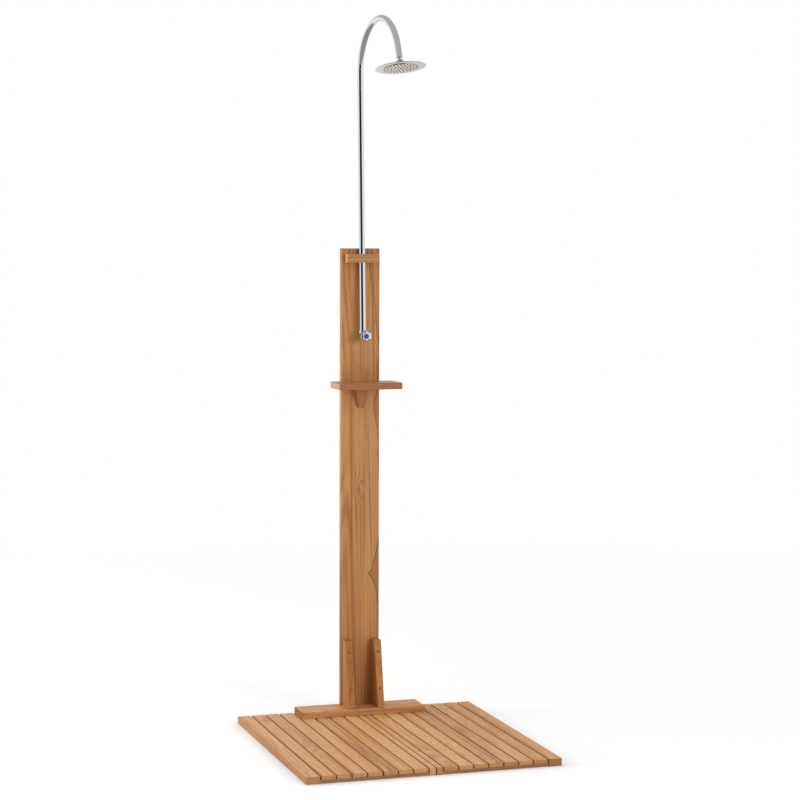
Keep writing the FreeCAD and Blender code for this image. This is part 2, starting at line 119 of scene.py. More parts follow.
def build_teak_figure():
    """Sawn teak: bent growth bands, colour drift, dark streaks and pores, up to two knots.

    The grain runs along the vector's Z. Bands are a sine of slow noise drawn out
    along Z, so that they open into long arches. Near a knot the noise is raised by
    an amount that falls with distance / knot size, so that the bands bend round it.
    """
    tree, ins, outs = start_group(
        "teak_figure",
        {"Vector": (0, 0, 0), "Light": (0.6, 0.35, 0.17, 1), "Dark": (0.4, 0.19, 0.08, 1),
         "Figure": 0.6, "Pores": 0.5, "Streak": 0.3, "Knot": (9, 9, 9),
         "Second Knot": (9, 9, 9), "Knot Size": 0.01},
        ("Color", "Roughness", "Height"))
    vector = ins["Vector"]
    distances = []
    for label in ("Knot", "Second Knot"):
        offset = add_vector_math(tree, "SUBTRACT", vector, ins[label])
        drawn_out = add_vector_math(tree, "MULTIPLY", offset, (1, 1, 0.4))
        distances.append(add_vector_math(tree, "LENGTH", drawn_out))
    near = add_math(tree, "DIVIDE", add_math(tree, "MINIMUM", *distances), ins["Knot Size"])
    swell = add_range(tree, near, 0.0, 3.2, 0.11, 0.0)
    eye = add_range(tree, near, 0.1, 1.1, 0.6, 0.0)
    arches = add_math(tree, "ADD", add_noise(tree, vector, (13, 13, 0.8), 1.0, 0.4, 0.3), swell)
    band_count = 95.0
    wave = add_math(tree, "SINE", add_math(tree, "MULTIPLY", arches, band_count))
    fade = add_range(tree, add_noise(tree, vector, (16, 16, 1.8), 1.0), 0.35, 0.65, 0.15, 1.0)
    rings = add_math(tree, "MULTIPLY", add_range(tree, wave, -0.9, 1.0), fade)
    bands = add_math(tree, "MULTIPLY", rings, ins["Figure"])
    drift = add_range(tree, add_noise(tree, vector, (11, 11, 1.1), 2.0), 0.3, 0.7, 0.0, 0.4)
    fine = add_noise(tree, vector, (230, 230, 5), 3.0, 0.6)
    grit = add_range(tree, fine, 0.3, 0.75, 0.0, 0.35)
    shade = add_math(tree, "ADD", add_math(tree, "ADD", bands, drift), grit)
    wood = add_mix(tree, add_math(tree, "MINIMUM", shade, 1.0), ins["Light"], ins["Dark"])
    streaks = add_range(tree, add_noise(tree, vector, (60, 60, 0.7), 2.0), 0.56, 0.72)
    pores = add_range(tree, add_noise(tree, vector, (800, 800, 75), 1.0), 0.56, 0.68)
    for mask, share, colour in ((streaks, ins["Streak"], (0.25, 0.088, 0.03, 1)),
                                (eye, 1.0, (0.17, 0.06, 0.02, 1)),
                                (pores, ins["Pores"], (0.27, 0.108, 0.042, 1))):
        wood = add_mix(tree, add_math(tree, "MULTIPLY", mask, share), wood, colour)
    height = add_math(tree, "SUBTRACT", add_math(tree, "MULTIPLY", fine, 0.5), pores)
    feed(outs, {"Color": wood, "Roughness": add_range(tree, fine, 0.2, 0.8), "Height": height})
    return tree


def build_board_faces():
    """What differs between a board's faces: end grain, and painted shade in narrow gaps.

    End grain shows where the normal runs along the grain. Faces that look sideways take a
    dark painted shade colour, which stands in for the shade between neighbouring boards.
    """
    tree, ins, outs = start_group(
        "board_faces",
        {"Color": (0, 0, 0, 1), "Normal": (0, 0, 1), "Grain": (0, 1, 0),
         "End": (0.4, 0.2, 0.08, 1), "Painted Shade": 0.0, "Painted Shade Color": (0.47, 0.175, 0.033, 1)},
        ("Color",))
    along_grain = add_vector_math(tree, "DOT_PRODUCT", ins["Normal"], ins["Grain"])
    sideways = add_node(tree, "SeparateXYZ", {0: ins["Normal"]})["X"]
    at_end, at_side = (add_range(tree, add_math(tree, "ABSOLUTE", part), 0.6, 0.9)
                       for part in (along_grain, sideways))
    wood = add_mix(tree, add_math(tree, "MULTIPLY", at_end, 0.72), ins["Color"], ins["End"])
    # Painted shade: sideways faces take the dark shade colour, which stands in for the shade in the
    # gaps between boards.
    painted_shade = add_math(tree, "MULTIPLY", at_side, ins["Painted Shade"])
    feed(outs, {"Color": add_mix(tree, painted_shade, wood, ins["Painted Shade Color"])})
    return tree


teak_figure = build_teak_figure()
board_faces = build_board_faces()


def start_material(name):
    """A new material, its node tree and its shader."""
    material = bpy.data.materials.new(name)
    material.use_nodes = True
    return material, material.node_tree, material.node_tree.nodes["Principled BSDF"]


def teak(name, along, shift, light, dark, figure=0.6, pores=0.5, streak=0.3, bump=0.25,
         knots=(), knot_size=0.008, end=None, painted_shade=0.0, painted_shade_colour=(0.47, 0.175, 0.033),
         rough=(0.42, 0.62)):
    """A teak material whose grain runs along one axis of the frame, with knots if placed.

    For the figure, Object coordinates are put in an order that brings the grain to
    the vector's Z, and are moved by shift. The ends are 0.85 of dark if not given.
    """
    material, tree, shader = start_material(name)
    coordinates = add_node(tree, "TexCoord", {})
    order = {"X": (1, 2, 0), "Y": (2, 0, 1), "Z": (0, 1, 2)}[along]
    axes = add_node(tree, "SeparateXYZ", {0: coordinates["Object"]})
    turned = add_node(tree, "CombineXYZ", {target: axes[source]
                                           for target, source in enumerate(order)})
    centres = {label: [knot[source] + move for source, move in zip(order, shift)]
               for label, knot in zip(("Knot", "Second Knot"), knots)}
    wood = add_node(tree, "Group",
                    {"Vector": add_vector_math(tree, "ADD", turned[0], shift),
                     "Light": light + (1,), "Dark": dark + (1,), "Figure": figure,
                     "Pores": pores, "Streak": streak, "Knot Size": knot_size, **centres},
                    node_tree=teak_figure)
    # Sideways faces get painted shade, by the share given and in the painted shade colour, for the
    # gaps between boards.
    faces = add_node(tree, "Group",
                     {"Color": wood["Color"], "Normal": coordinates["Normal"], "Painted Shade": painted_shade,
                      "Grain": [float(axis == along) for axis in "XYZ"],
                      "End": (end or tuple(0.85 * part for part in dark)) + (1,),
                      "Painted Shade Color": painted_shade_colour + (1,)},
                     node_tree=board_faces)
    relief = add_node(tree, "Bump", {"Height": wood["Height"], "Strength": bump,
                                     "Distance": 0.0006})
    feed(shader, {"Base Color": faces["Color"], "Normal": relief["Normal"],
                  "Roughness": add_range(tree, wood["Roughness"], 0.0, 1.0, *rough),
                  "Specular IOR Level": 0.35})
    return material


def add_object(name, data):
    """An object at the origin that shows this data."""
    piece = bpy.data.objects.new(name, data)
    bpy.context.scene.collection.objects.link(piece)
    return piece


def finish_piece(piece, body, slot, *replaced):
    """Puts a finished piece on its body and hides the nodes it stands for. The slot is not used."""
    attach(piece, body)
    if replaced:
        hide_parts(*replaced)


def eased_board(node, material, slot="teak_tray", ease=0.0014, least=0.012):
    """The board's own solid with its flat faces joined and its long arrises rounded.

    An arris is eased where its faces turn by over 0.6 radians, if longer than least.
    """
    mesh = frame["nodes"][node].data.copy()
    mesh.name = node + "_wood"
    mesh.materials.clear()
    mesh.materials.append(material)
    work = bmesh.new()
    work.from_mesh(mesh)
    bmesh.ops.remove_doubles(work, verts=work.verts, dist=1e-6)
    bmesh.ops.dissolve_limit(work, angle_limit=math.radians(1), verts=work.verts,
                             edges=work.edges)
    marks = (work.edges.layers.float.get("bevel_weight_edge")
             or work.edges.layers.float.new("bevel_weight_edge"))
    for edge in work.edges:
        arris = len(edge.link_faces) == 2 and edge.is_convex and edge.calc_face_angle() > 0.6
        edge[marks] = float(arris and edge.calc_length() > least)
    for face in work.faces:
        face.material_index = 0
        face.smooth = False
    work.to_mesh(mesh)
    work.free()
    piece = add_object(mesh.name, mesh)
    bevel = piece.modifiers.new("eased_arris", "BEVEL")
    bevel.limit_method = "WEIGHT"
    bevel.width = ease
    bevel.segments = 2
    bevel.use_clamp_overlap = False
    finish_piece(piece, "base", slot, node)


# Painted shade: the runners' colours are darker than the slats' to stand in for the shade under the
# slats.
runner_teak_painted_shade = teak("runner_teak_painted_shade", "X", (0.3, 0.2, 0.1), (0.42, 0.23, 0.11), (0.27, 0.13, 0.06),
                   figure=0.5, pores=0.6, streak=0.2, bump=0.5)
for side in ("left", "right"):
    for place in ("front", "middle", "back"):
        eased_board("tray_runner_%s_%s" % (side, place), runner_teak_painted_shade, ease=0.0008)


# ---------------------------------------------------------------- link plates
# Three flat steel plates let into both centre rails from below, which tie the panels
# together. Rolled, zinc-plated steel, lightly scratched from front to back.
def build_brushed_metal():
    """Rolled or turned metal: fine scratches along one direction, with dull patches."""
    tree, ins, outs = start_group("brushed_metal", {"Vector": (0, 0, 0), "Low": 0.25, "High": 0.5},
                                  ("Roughness", "Height"))
    scratches = add_noise(tree, ins["Vector"], (2600, 60, 2600), 2.0)
    patches = add_noise(tree, ins["Vector"], (70, 70, 70), 3.0)
    both = add_math(tree, "MULTIPLY", add_math(tree, "ADD", scratches, patches), 0.5)
    width = add_math(tree, "SUBTRACT", ins["High"], ins["Low"])
    spread = add_math(tree, "MULTIPLY", both, width)
    feed(outs, {"Roughness": add_math(tree, "ADD", spread, ins["Low"]), "Height": scratches})
    return tree


brushed_metal = build_brushed_metal()


def metal(name, colour, finish, values, bump, depth):
    """A metal whose gloss and relief come from a finish group, fed with these values."""
    material, tree, shader = start_material(name)
    surface = add_node(tree, "Group",
                       {"Vector": add_node(tree, "TexCoord", {})["Object"], **values},
                       node_tree=finish)
    relief = add_node(tree, "Bump", {"Height": surface["Height"], "Strength": bump,
                                     "Distance": depth})
    feed(shader, {"Metallic": 1.0, "Base Color": colour + (1,),
                  "Roughness": surface["Roughness"], "Normal": relief["Normal"]})
    return material


zinc_steel = metal("zinc_steel", (0.60, 0.60, 0.58), brushed_metal, {"Low": 0.25, "High": 0.55},
                   bump=0.2, depth=0.0001)
eased_board("panel_link_plates", zinc_steel, "link_steel", ease=0.0004)


# ---------------------------------------------------------------- tray boards
# Borders, centre rails and slats: planed teak boards with eased arrises, sawn from
# different planks, so each has its own tone between rosy, golden, honey and brown.
def build_heart_edge():
    """Where heartwood begins across a plank: its area and the dark line along it.

    The edge runs at X + Slope (z - Z) - Tip exp(-|z - Z| / Reach), bent by noise.
    """
    tree, ins, outs = start_group(
        "heart_edge",
        {"Vector": (0, 0, 0), "X": 0.06, "Z": 0.5, "Tip": 0.02, "Reach": 0.05, "Slope": 0.0},
        ("Area", "Line"))
    axes = add_node(tree, "SeparateXYZ", {0: ins["Vector"]})
    above = add_math(tree, "SUBTRACT", axes["Z"], ins["Z"])
    share = add_math(tree, "DIVIDE", add_math(tree, "ABSOLUTE", above), ins["Reach"])
    falling = add_math(tree, "EXPONENT", add_math(tree, "MULTIPLY", share, -1.0))
    tip = add_math(tree, "MULTIPLY", ins["Tip"], falling)
    drift = add_math(tree, "MULTIPLY", above, ins["Slope"])
    edge = add_math(tree, "SUBTRACT", add_math(tree, "ADD", ins["X"], drift), tip)
    noise = add_noise(tree, ins["Vector"], (30, 30, 14), 2.0)
    wobble = add_range(tree, noise, 0.2, 0.8, -0.004, 0.004)
    past = add_math(tree, "SUBTRACT", add_math(tree, "SUBTRACT", axes["X"], edge), wobble)
    away = add_math(tree, "ABSOLUTE", past)
    feed(outs, {"Area": add_range(tree, past, -0.0005, 0.0015),
                "Line": add_range(tree, away, 0.0006, 0.0022, 1.0, 0.0)})
    return tree


heart_edge = build_heart_edge()


def add_heart(material, x, z, tip, reach, slope, area, line, along="Z"):
    """Lays heartwood over a teak material's colour, to the right of a heart edge.

    On a board that runs along Y, z is measured along Y and x to the left. Area and
    line say how strongly the heartwood and its dark edge show.
    """
    tree = material.node_tree
    base = tree.nodes["Principled BSDF"].inputs["Base Color"]
    turn = {"Scale": (-1, 1, 1), "Rotation": (math.pi / 2, 0, 0)} if along == "Y" else {}
    place = add_node(tree, "Mapping", {0: add_node(tree, "TexCoord", {})["Object"], **turn})[0]
    edge = add_node(tree, "Group", {"Vector": place, "X": x, "Z": z, "Tip": tip,
                                    "Reach": reach, "Slope": slope}, node_tree=heart_edge)
    wood = base.links[0].from_socket
    for label, share, colour in (("Area", area, (0.30, 0.115, 0.04, 1)),
                                 ("Line", line, (0.17, 0.06, 0.025, 1))):
        wood = add_mix(tree, add_math(tree, "MULTIPLY", edge[label], share), wood, colour)
    tree.links.new(wood, base)


tones = {
    "rosy": ((0.70, 0.385, 0.172), (0.50, 0.235, 0.088)),
    "golden": ((0.75, 0.415, 0.188), (0.55, 0.265, 0.10)),
    "honey": ((0.73, 0.39, 0.158), (0.50, 0.23, 0.080)),
    "brown": ((0.69, 0.355, 0.138), (0.43, 0.182, 0.063)),
}
slat_tones = ("rosy", "rosy", "rosy", "golden", "rosy", "golden", "golden",
              "honey", "golden", "honey", "honey", "brown", "honey", "brown")
# The knots' centres lie 8 mm over the slats' tops, so the bands bend round them and
# their dark eyes stay faint.
slat_knots = {2: ((-0.2724, 0.2298, 0.030), (-0.2711, -0.1443, 0.030)),
              5: ((-0.1380, -0.2800, 0.030),), 10: ((0.1218, -0.1483, 0.030),)}
# From the ninth on, the slats come from a more open-pored plank. The fifth has a tip
# of heartwood.
first_open_pored, hearted = 9, 5
for number, tone in enumerate(slat_tones, start=1):
    # Each slat shows another stretch of the figure, at a strength from 0.35 to 0.80.
    shift = (0.37 * number, 0.11 * number, 0.53 * number)
    figure = 0.35 + 0.45 * ((number * 5) % 7) / 6
    pores, streak = (0.4, 0.5) if number < first_open_pored else (1.0, 0.8)
    # Their sideways faces take the full painted shade for the gaps between slats.
    wood = teak("slat_teak_%02d" % number, "Y", shift, *tones[tone], figure, pores, streak,
                knots=slat_knots.get(number, ()), knot_size=0.010, painted_shade=1.0)
    if number == hearted:
        add_heart(wood, x=0.1535, z=-0.12, tip=0.024, reach=0.11, slope=0.0, area=0.4, line=0.5,
                  along="Y")
    eased_board("tray_slat_%02d" % number, wood)
edge_boards = {"tray_border_left": ("rosy", 3.1, (0.34, 0.165, 0.045)),
               "tray_border_right": ("brown", 4.7, (0.21, 0.07, 0.018)),
               "tray_centre_rail_left": ("golden", 5.9, (0.52, 0.30, 0.125)),
               "tray_centre_rail_right": ("rosy", 7.3, (0.40, 0.165, 0.055))}
for node, (tone, shift, end) in edge_boards.items():
    # Their sideways faces take half as much painted shade, in a darker colour.
    wood = teak(node + "_teak", "Y", (shift, shift / 2, shift), *tones[tone], figure=0.5,
                pores=0.7, streak=0.55, end=end, painted_shade=0.5, painted_shade_colour=(0.22, 0.078, 0.015))
    eased_board(node, wood)


# ---------------------------------------------------------------- foot board
# One flat teak board across the back of the tray, screwed from below. Its grain
# runs from side to side, with a knot near its darker left end.
foot_teak = teak("foot_board_teak", "X", (0.9, 0.4, 0.2), (0.69, 0.377, 0.153),
                 (0.47, 0.210, 0.075), figure=0.5, pores=0.55, streak=0.4,
                 knots=((-0.205, 0.30, 0.041),), knot_size=0.014, end=(0.20, 0.075, 0.022))
eased_board("foot_board", foot_teak)


# ---------------------------------------------------------------- post
# One wide plank on end. Dark heartwood comes in from its right edge in two blunt
# tips with a darker line round each, and in a faint slanting edge near the top.
# There is a knot half way up.
post_teak = teak("post_teak", "Z", (1.3, 0.6, 0.0), (0.62, 0.315, 0.116),
                 (0.385, 0.160, 0.053), figure=0.62, pores=0.35, streak=0.75,
                 knots=((0.0043, 0.372, 0.7093),), knot_size=0.0065)
add_heart(post_teak, x=0.074, z=0.4497, tip=0.038, reach=0.06, slope=0.0, area=0.5, line=0.85)
add_heart(post_teak, x=0.070, z=0.955, tip=0.020, reach=0.09, slope=0.0, area=0.6, line=0.6)
add_heart(post_teak, x=0.054, z=1.26, tip=0.0, reach=0.05, slope=-0.13, area=0.15, line=0.6)
eased_board("post", post_teak, "teak_post")


# ---------------------------------------------------------------- gussets
# Two tapered offcuts stood on edge against the post's foot. Each is screwed through
# its sloping front edge, and the screws are covered by round cross-grain plugs.
gusset_left = teak("gusset_left_teak", "Z", (2.1, 0.9, 0.4), (0.50, 0.225, 0.072),
                   (0.34, 0.13, 0.038), figure=0.5, pores=0.5, streak=0.3)
gusset_right = teak("gusset_right_teak", "Z", (3.3, 1.9, 0.8), (0.56, 0.258, 0.08),
                    (0.37, 0.145, 0.04), figure=0.5, pores=0.5, streak=0.3)
eased_board("gusset_left", gusset_left, "teak_post")
eased_board("gusset_right", gusset_right, "teak_post")


def add_mesh(name, points, faces, material):
    """An object with a new mesh of these points and faces, all of one material."""
    mesh = bpy.data.meshes.new(name)
    mesh.from_pydata(points, [], faces)
    mesh.materials.append(material)
    return add_object(name, mesh)


def weld(mesh, turn_out=True):
    """Merges points that lie together, which closes seams and poles, and smooths the mesh.

    Faces are turned outwards as well. On small open cups that turns them inside out,
    so there it is left off.
    """
    work = bmesh.new()
    work.from_mesh(mesh)
    bmesh.ops.remove_doubles(work, verts=work.verts, dist=1e-6)
    if turn_out:
        bmesh.ops.recalc_face_normals(work, faces=work.faces)
    work.to_mesh(mesh)
    work.free()
    mesh.polygons.foreach_set("use_smooth", np.full(len(mesh.polygons), True))


def surface_piece(name, grid, material, body, slot, *replaced):
    """A finished piece over a grid of points, rows by columns, with its columns joined up.

    Each quad takes the corners (i, j), (i, j+1), (i+1, j+1), (i+1, j). Edges that
    turn by more than 32 degrees stay sharp.
    """
    index = np.arange(grid[..., 0].size).reshape(grid.shape[:2])
    after = np.roll(index, -1, axis=1)
    faces = np.stack([index[:-1], after[:-1], after[1:], index[1:]], axis=-1).reshape(-1, 4)
    piece = add_mesh(name, grid.reshape(-1, 3), faces, material)
    weld(piece.data)
    piece.data.set_sharp_from_angle(angle=math.radians(32))
    finish_piece(piece, body, slot, *replaced)


def round_grid(radius, height, place, steps=96):
    """Rings of points (r cos t, r sin t, h) about a place's Z axis.

    Radius and height have a row for each ring, with one number or one for each t.
    """
    t = np.linspace(0, 2 * np.pi, steps, endpoint=False)
    parts = np.broadcast_arrays(radius * np.cos(t), radius * np.sin(t), height)
    return np.stack(parts, axis=-1) @ np.array(place.to_3x3()).T + np.array(place.translation)


def lathe_grid(profile, place, steps=96):
    """Points of a lathe form: each (radius, height) turned about the place's Z axis."""
    profile = np.asarray(profile, float)
    return round_grid(profile[:, :1], profile[:, 1:], place, steps)


def aim(point, direction):
    """A placement at a point whose Z runs along a direction."""
    turn = Vector((0, 0, 1)).rotation_difference(Vector(direction))
    return Matrix.Translation(Vector(point)) @ turn.to_matrix().to_4x4()


plug_teak = teak("plug_teak", "X", (8.1, 2.2, 1.4), (0.33, 0.13, 0.045), (0.20, 0.07, 0.022),
                 figure=0.6, pores=0.6, streak=0.3)
plug_profile = [(0.0, -0.0008), (0.0045, -0.0008), (0.0045, 0.0001), (0.0042, 0.0004),
                (0.0030, 0.0006), (0.0, 0.0007)]
post_face, foot_top = 0.372, 0.041
gusset_depth, gusset_taper = 0.074, 0.039 / 0.205
slope = (0, -1, gusset_taper)
for side, x in (("left", -0.038), ("right", 0.055)):
    for height in (0.100, 0.211):
        y = post_face - (gusset_depth - (height - foot_top) * gusset_taper)
        surface_piece("gusset_plug_%s_%d" % (side, height * 1000),
                      lathe_grid(plug_profile, aim((x, y, height), slope), 40), plug_teak,
                      "base", "teak_post")


# ---------------------------------------------------------------- shelf and bracket
# The shelf is a short teak board with its grain across the post, on a wedge cut
# from an offcut. Both are screwed through the post from behind.
# The shelf's end colour is end grain painted paler than its face, a painted highlight for the light
# on its lit left end.
shelf_teak = teak("shelf_teak", "X", (4.2, 0.3, 0.7), (0.40, 0.165, 0.065),
                  (0.27, 0.10, 0.035), figure=0.5, pores=0.5, streak=0.3,
                  end=(0.50, 0.30, 0.165), rough=(0.28, 0.42))
bracket_teak = teak("bracket_teak", "Z", (5.2, 2.3, 0.9), (0.41, 0.165, 0.055),
                    (0.28, 0.10, 0.03), figure=0.4, pores=0.4, streak=0.2)
eased_board("shelf", shelf_teak, "teak_post")
eased_board("shelf_bracket", bracket_teak, "teak_post")


def screw_head_grid(place, radius, dome, slot_width, slot_depth, rings=14, steps=64):
    """A cross-recess screw head over polar r and t: dome (1 - (r/R)^2) less the cross.

    The cross is deep where |x| or |y| is under half the slot's width within 0.62 R.
    One more ring takes the edge 0.6 mm down into the wood.
    """
    r = np.linspace(0, radius, rings)[:, None]
    t = np.linspace(0, 2 * np.pi, steps, endpoint=False)
    arm = np.minimum(np.abs(r * np.cos(t)), np.abs(r * np.sin(t))) < slot_width / 2
    height = dome * (1 - (r / radius) ** 2) - slot_depth * (arm & (r < 0.62 * radius))
    return round_grid(np.vstack([r, r[-1:]]), np.vstack([height, np.full(steps, -0.0006)]),
                      place, steps)


post_back = 0.395
back = Vector((0, 1, 0))
post_screws = {"shelf_left": (-0.022, 1.036), "shelf_right": (0.039, 1.036),
               "bracket": (0.0085, 1.0105), "block_left": (-0.0215, 1.422),
               "block_right": (0.0385, 1.422)}
for label, (x, z) in post_screws.items():
    surface_piece("post_screw_" + label,
                  screw_head_grid(aim((x, post_back, z), back), radius=0.0042, dome=0.0006,
                                  slot_width=0.0011, slot_depth=0.0012),
                  zinc_steel, "base", "link_steel")


# ---------------------------------------------------------------- riser block
# A small teak block on the post's face near its top, with its grain across. It is
# grooved at the back for the tube and screwed from behind the post.
# The block's end colour is end grain painted a little paler than its face, a painted highlight for
# the light on its lit left end.
block_teak = teak("block_teak", "X", (6.1, 0.8, 0.2), (0.52, 0.265, 0.10),
                  (0.33, 0.14, 0.048), figure=0.45, pores=0.6, streak=0.2,
                  end=(0.56, 0.30, 0.13))
eased_board("riser_block", block_teak, "teak_post", ease=0.0006, least=0.0)


# ---------------------------------------------------------------- riser tube
# A chromed tube from the valve up through the block, round the gooseneck to the
# ball end. The plating is bright, with a faint haze of wiped water marks.
def build_plating():
    """Bright plating: slow smears of haze and tiny dried drops, for roughness."""
    tree, ins, outs = start_group("plating", {"Vector": (0, 0, 0), "Base": 0.04},
                                  ("Roughness", "Height"))
    smears = add_noise(tree, ins["Vector"], (30, 30, 12), 4.0, 0.6, 0.5)
    drops = add_node(tree, "TexVoronoi", {"Vector": ins["Vector"], "Scale": 210.0})
    drop_mask = add_range(tree, drops["Distance"], 0.12, 0.2, 0.06, 0.0)
    haze = add_range(tree, smears, 0.45, 0.8, 0.0, 0.08)
    total = add_math(tree, "ADD", add_math(tree, "ADD", haze, drop_mask), ins["Base"])
    feed(outs, {"Roughness": total, "Height": add_noise(tree, ins["Vector"], (14, 14, 14), 0.0)})
    return tree


plating = build_plating()


def plated(name, colour, base):
    """A bright plated metal over barely uneven brass; base is its roughness where clean."""
    return metal(name, colour, plating, {"Base": base}, bump=0.02, depth=0.0003)


def rounded(profile, radius, steps=5):
    """A profile's polyline with each inner corner cut by an arc-like curve.

    Each corner is replaced by a quadratic curve. On each side it begins at the given
    distance from the corner, or at half of that side where that is less.
    """
    points = [np.array(p, float) for p in profile]
    out = [points[0]]
    for before, corner, after in zip(points, points[1:], points[2:]):
        start, end = (corner + (point - corner) / np.linalg.norm(point - corner)
                      * min(radius, np.linalg.norm(point - corner) / 2)
                      for point in (before, after))
        t = np.linspace(0, 1, steps)[:, None]
        out += list((1 - t) ** 2 * start + 2 * t * (1 - t) * corner + t ** 2 * end)
    out.append(points[-1])
    return np.array(out)


chrome = plated("chrome", (0.74, 0.74, 0.75), base=0.035)
# The riser's socket stands 23 mm before the post's face, and the block, 236 mm higher,
# holds the riser 9.5 mm further out. The arm ends 21 degrees short of straight down.
valve_axis = np.array([0.0085, post_face, 1.186])
riser_foot = valve_axis - (0, 0.023, 0)
riser_lean = math.atan2(0.0095, 0.236)
bend_start_height, bend_radius = 1.9765, 0.153
arm_turn, arm_from_vertical = math.radians(5.1), math.radians(21)
riser_axes = (np.array(Matrix.Rotation(-riser_lean, 3, "X"))
              @ np.array(Matrix.Rotation(arm_turn - math.pi / 2, 3, "Z"))).T
joints = {joint["name"]: joint for joint in frame["joints"]}
ball_centre = np.array(joints["head_swivel"]["pos_m"])
arm_up = Vector(joints["head_swivel"]["axis"])


def riser_line():
    """The tube's centre line in its own plane: straight, then a round bend, then straight.

    Along the bend a point stands at R(1 - cos a) out and R sin a up from its start.
    The line begins 11 mm up, inside the socket, and its last straight is 30 mm long.
    """
    rise = (bend_start_height - valve_axis[2]) / math.cos(riser_lean)
    sweep = math.pi - arm_from_vertical + riser_lean
    angle = np.linspace(0, sweep, 120)
    upright = np.stack([np.zeros(20), np.linspace(0.011, rise, 20, endpoint=False)], axis=1)
    bend = np.stack([bend_radius * (1 - np.cos(angle)), rise + bend_radius * np.sin(angle)], axis=1)
    heading = np.array([math.sin(sweep), math.cos(sweep)])
    tail = bend[-1] + heading * np.linspace(0, 0.030, 7)[1:, None]
    return np.concatenate([upright, bend, tail])


def tube_grid(radius, steps=64):
    """A circle carried along the riser's centre line, square to it, with both ends closed.

    The riser's own axes are rows: towards the arm, sideways, and up the riser.
    """
    line = riser_line()
    ahead = np.gradient(line, axis=0)
    ahead /= np.linalg.norm(ahead, axis=1)[:, None]
    square = np.stack([ahead[:, 1], -ahead[:, 0]], axis=1)
    radii = np.pad(np.full((len(line), 1), radius), ((1, 1), (0, 0)))
    line, square = (np.pad(rows, ((1, 1), (0, 0)), "edge") for rows in (line, square))
    angle = np.linspace(0, 2 * np.pi, steps, endpoint=False)
    flat = line[:, None] + square[:, None] * (radii * np.cos(angle))[..., None]
    local = np.stack([flat[..., 0], radii * np.sin(angle), flat[..., 1]], axis=-1)
    return local @ riser_axes + riser_foot


surface_piece("riser_tube_chrome", tube_grid(0.010), chrome, "base", "chrome", "riser_tube")
ball_radius, ball_flat, neck_radius = 0.006, -0.0045, 0.0036
ball_profile = [(0.0, ball_flat)]
ball_profile += [(ball_radius * math.cos(a), ball_radius * math.sin(a))
                 for a in np.linspace(math.asin(ball_flat / ball_radius),
                                      math.acos(neck_radius / ball_radius), 28)]
ball_profile += [(neck_radius, 0.0054), (neck_radius, 0.0105), (0.0085, 0.0105),
                 (0.0098, 0.0119), (0.0098, 0.0135)]
arm_place = aim(ball_centre, arm_up)
surface_piece("arm_ball_end", lathe_grid(ball_profile, arm_place), chrome, "base", "chrome")


# ---------------------------------------------------------------- valve body
# One brass casting, turned and chromed: a barrel on the post's face, a short socket
# for the riser, a shank through the post and the threaded inlet behind it.
to_front = aim(valve_axis, (0, -1, 0))
to_back = aim(valve_axis, back)
barrel_profile = rounded([(0.0, 0.0), (0.0135, 0.0), (0.0135, 0.037), (0.0085, 0.037),
                          (0.0085, 0.020), (0.0, 0.020)], radius=0.0012)
surface_piece("valve_barrel", lathe_grid(barrel_profile, to_front), chrome,
              "base", "chrome", "valve_body")
socket_profile = rounded([(0.0, 0.0), (0.0125, 0.0), (0.0125, 0.0165), (0.01, 0.0165),
                          (0.01, 0.011), (0.0, 0.011)], radius=0.0008)
surface_piece("riser_socket", lathe_grid(socket_profile, aim(riser_foot, riser_axes[2])), chrome,
              "base", "chrome")


def thread_grid(place, start, end, crest, depth, pitch, bore, steps=72):
    """A screw thread: the radius falls below the crest by a ridge wave of turns and angle.

    The wave is 1 - |2 frac(height / pitch - angle / turn) - 1|, so ridges climb one
    pitch per turn. Each pitch has ten rings, and over the last one the ridges fade.
    A face and a blind bore 30 mm deep close the end.
    """
    angle = np.linspace(0, 2 * np.pi, steps, endpoint=False)
    height = np.linspace(start, end, int((end - start) / pitch * 10))[:, None]
    phase = height / pitch - angle / (2 * np.pi)
    wave = 1 - np.abs(2 * (phase - np.floor(phase)) - 1)
    fade = np.clip((end - height) / pitch, 0, 1)
    inside = np.outer((bore, bore, 0.0), np.ones(steps))
    radius = np.vstack([crest - depth * (1 - wave * fade), inside])
    return round_grid(radius, np.vstack([height, [[end], [end - 0.03], [end - 0.03]]]), place,
                      steps)


cast_brass = metal("turned_brass", (0.70, 0.53, 0.27), brushed_metal, {"Low": 0.22, "High": 0.45},
                   bump=0.1, depth=0.0001)
inlet = thread_grid(to_back, start=0.030, end=0.045, crest=0.0104, depth=0.0009, pitch=0.0018,
                    bore=0.0065)
shank = thread_grid(to_back, start=0.0, end=0.031, crest=0.0120, depth=0.0006, pitch=0.0015,
                    bore=0.0104)
surface_piece("inlet_thread", inlet, cast_brass, "base", "brass")
surface_piece("valve_shank", shank, cast_brass, "base", "brass")


# ---------------------------------------------------------------- locknut and bonnet
# A plain brass hexagon nut behind the post, and the bonnet's chromed hexagon in
# front of the barrel. Both have their corners turned back at thirty degrees.
def hexagon_grid(place, flats, low, high, bore, steps=120):
    """A hexagon nut: at each angle the radius is the flat's, cut back near both faces.

    The flat stands at a / cos(t), where a is half the width across flats and t the
    angle from the flat's middle. There both faces fall back by 0.58 (a / cos(t) - a),
    as on a cone of thirty degrees.
    """
    angle = np.linspace(0, 2 * np.pi, steps, endpoint=False)
    half = flats / 2
    off = (angle + np.pi / 6) % (np.pi / 3) - np.pi / 6
    corner = half / np.cos(off)
    drop = (corner - half) * 0.58
    rings = [(bore, low, 0), (half, low, 0), (corner, low, 1), (corner, high, -1), (half, high, 0),
             (bore, high, 0), (bore, low, 0)]
    radius = np.stack([np.broadcast_to(reach, steps) for reach, level, side in rings])
    height = np.stack([level + side * drop for reach, level, side in rings])
    return round_grid(radius, height, place, steps)


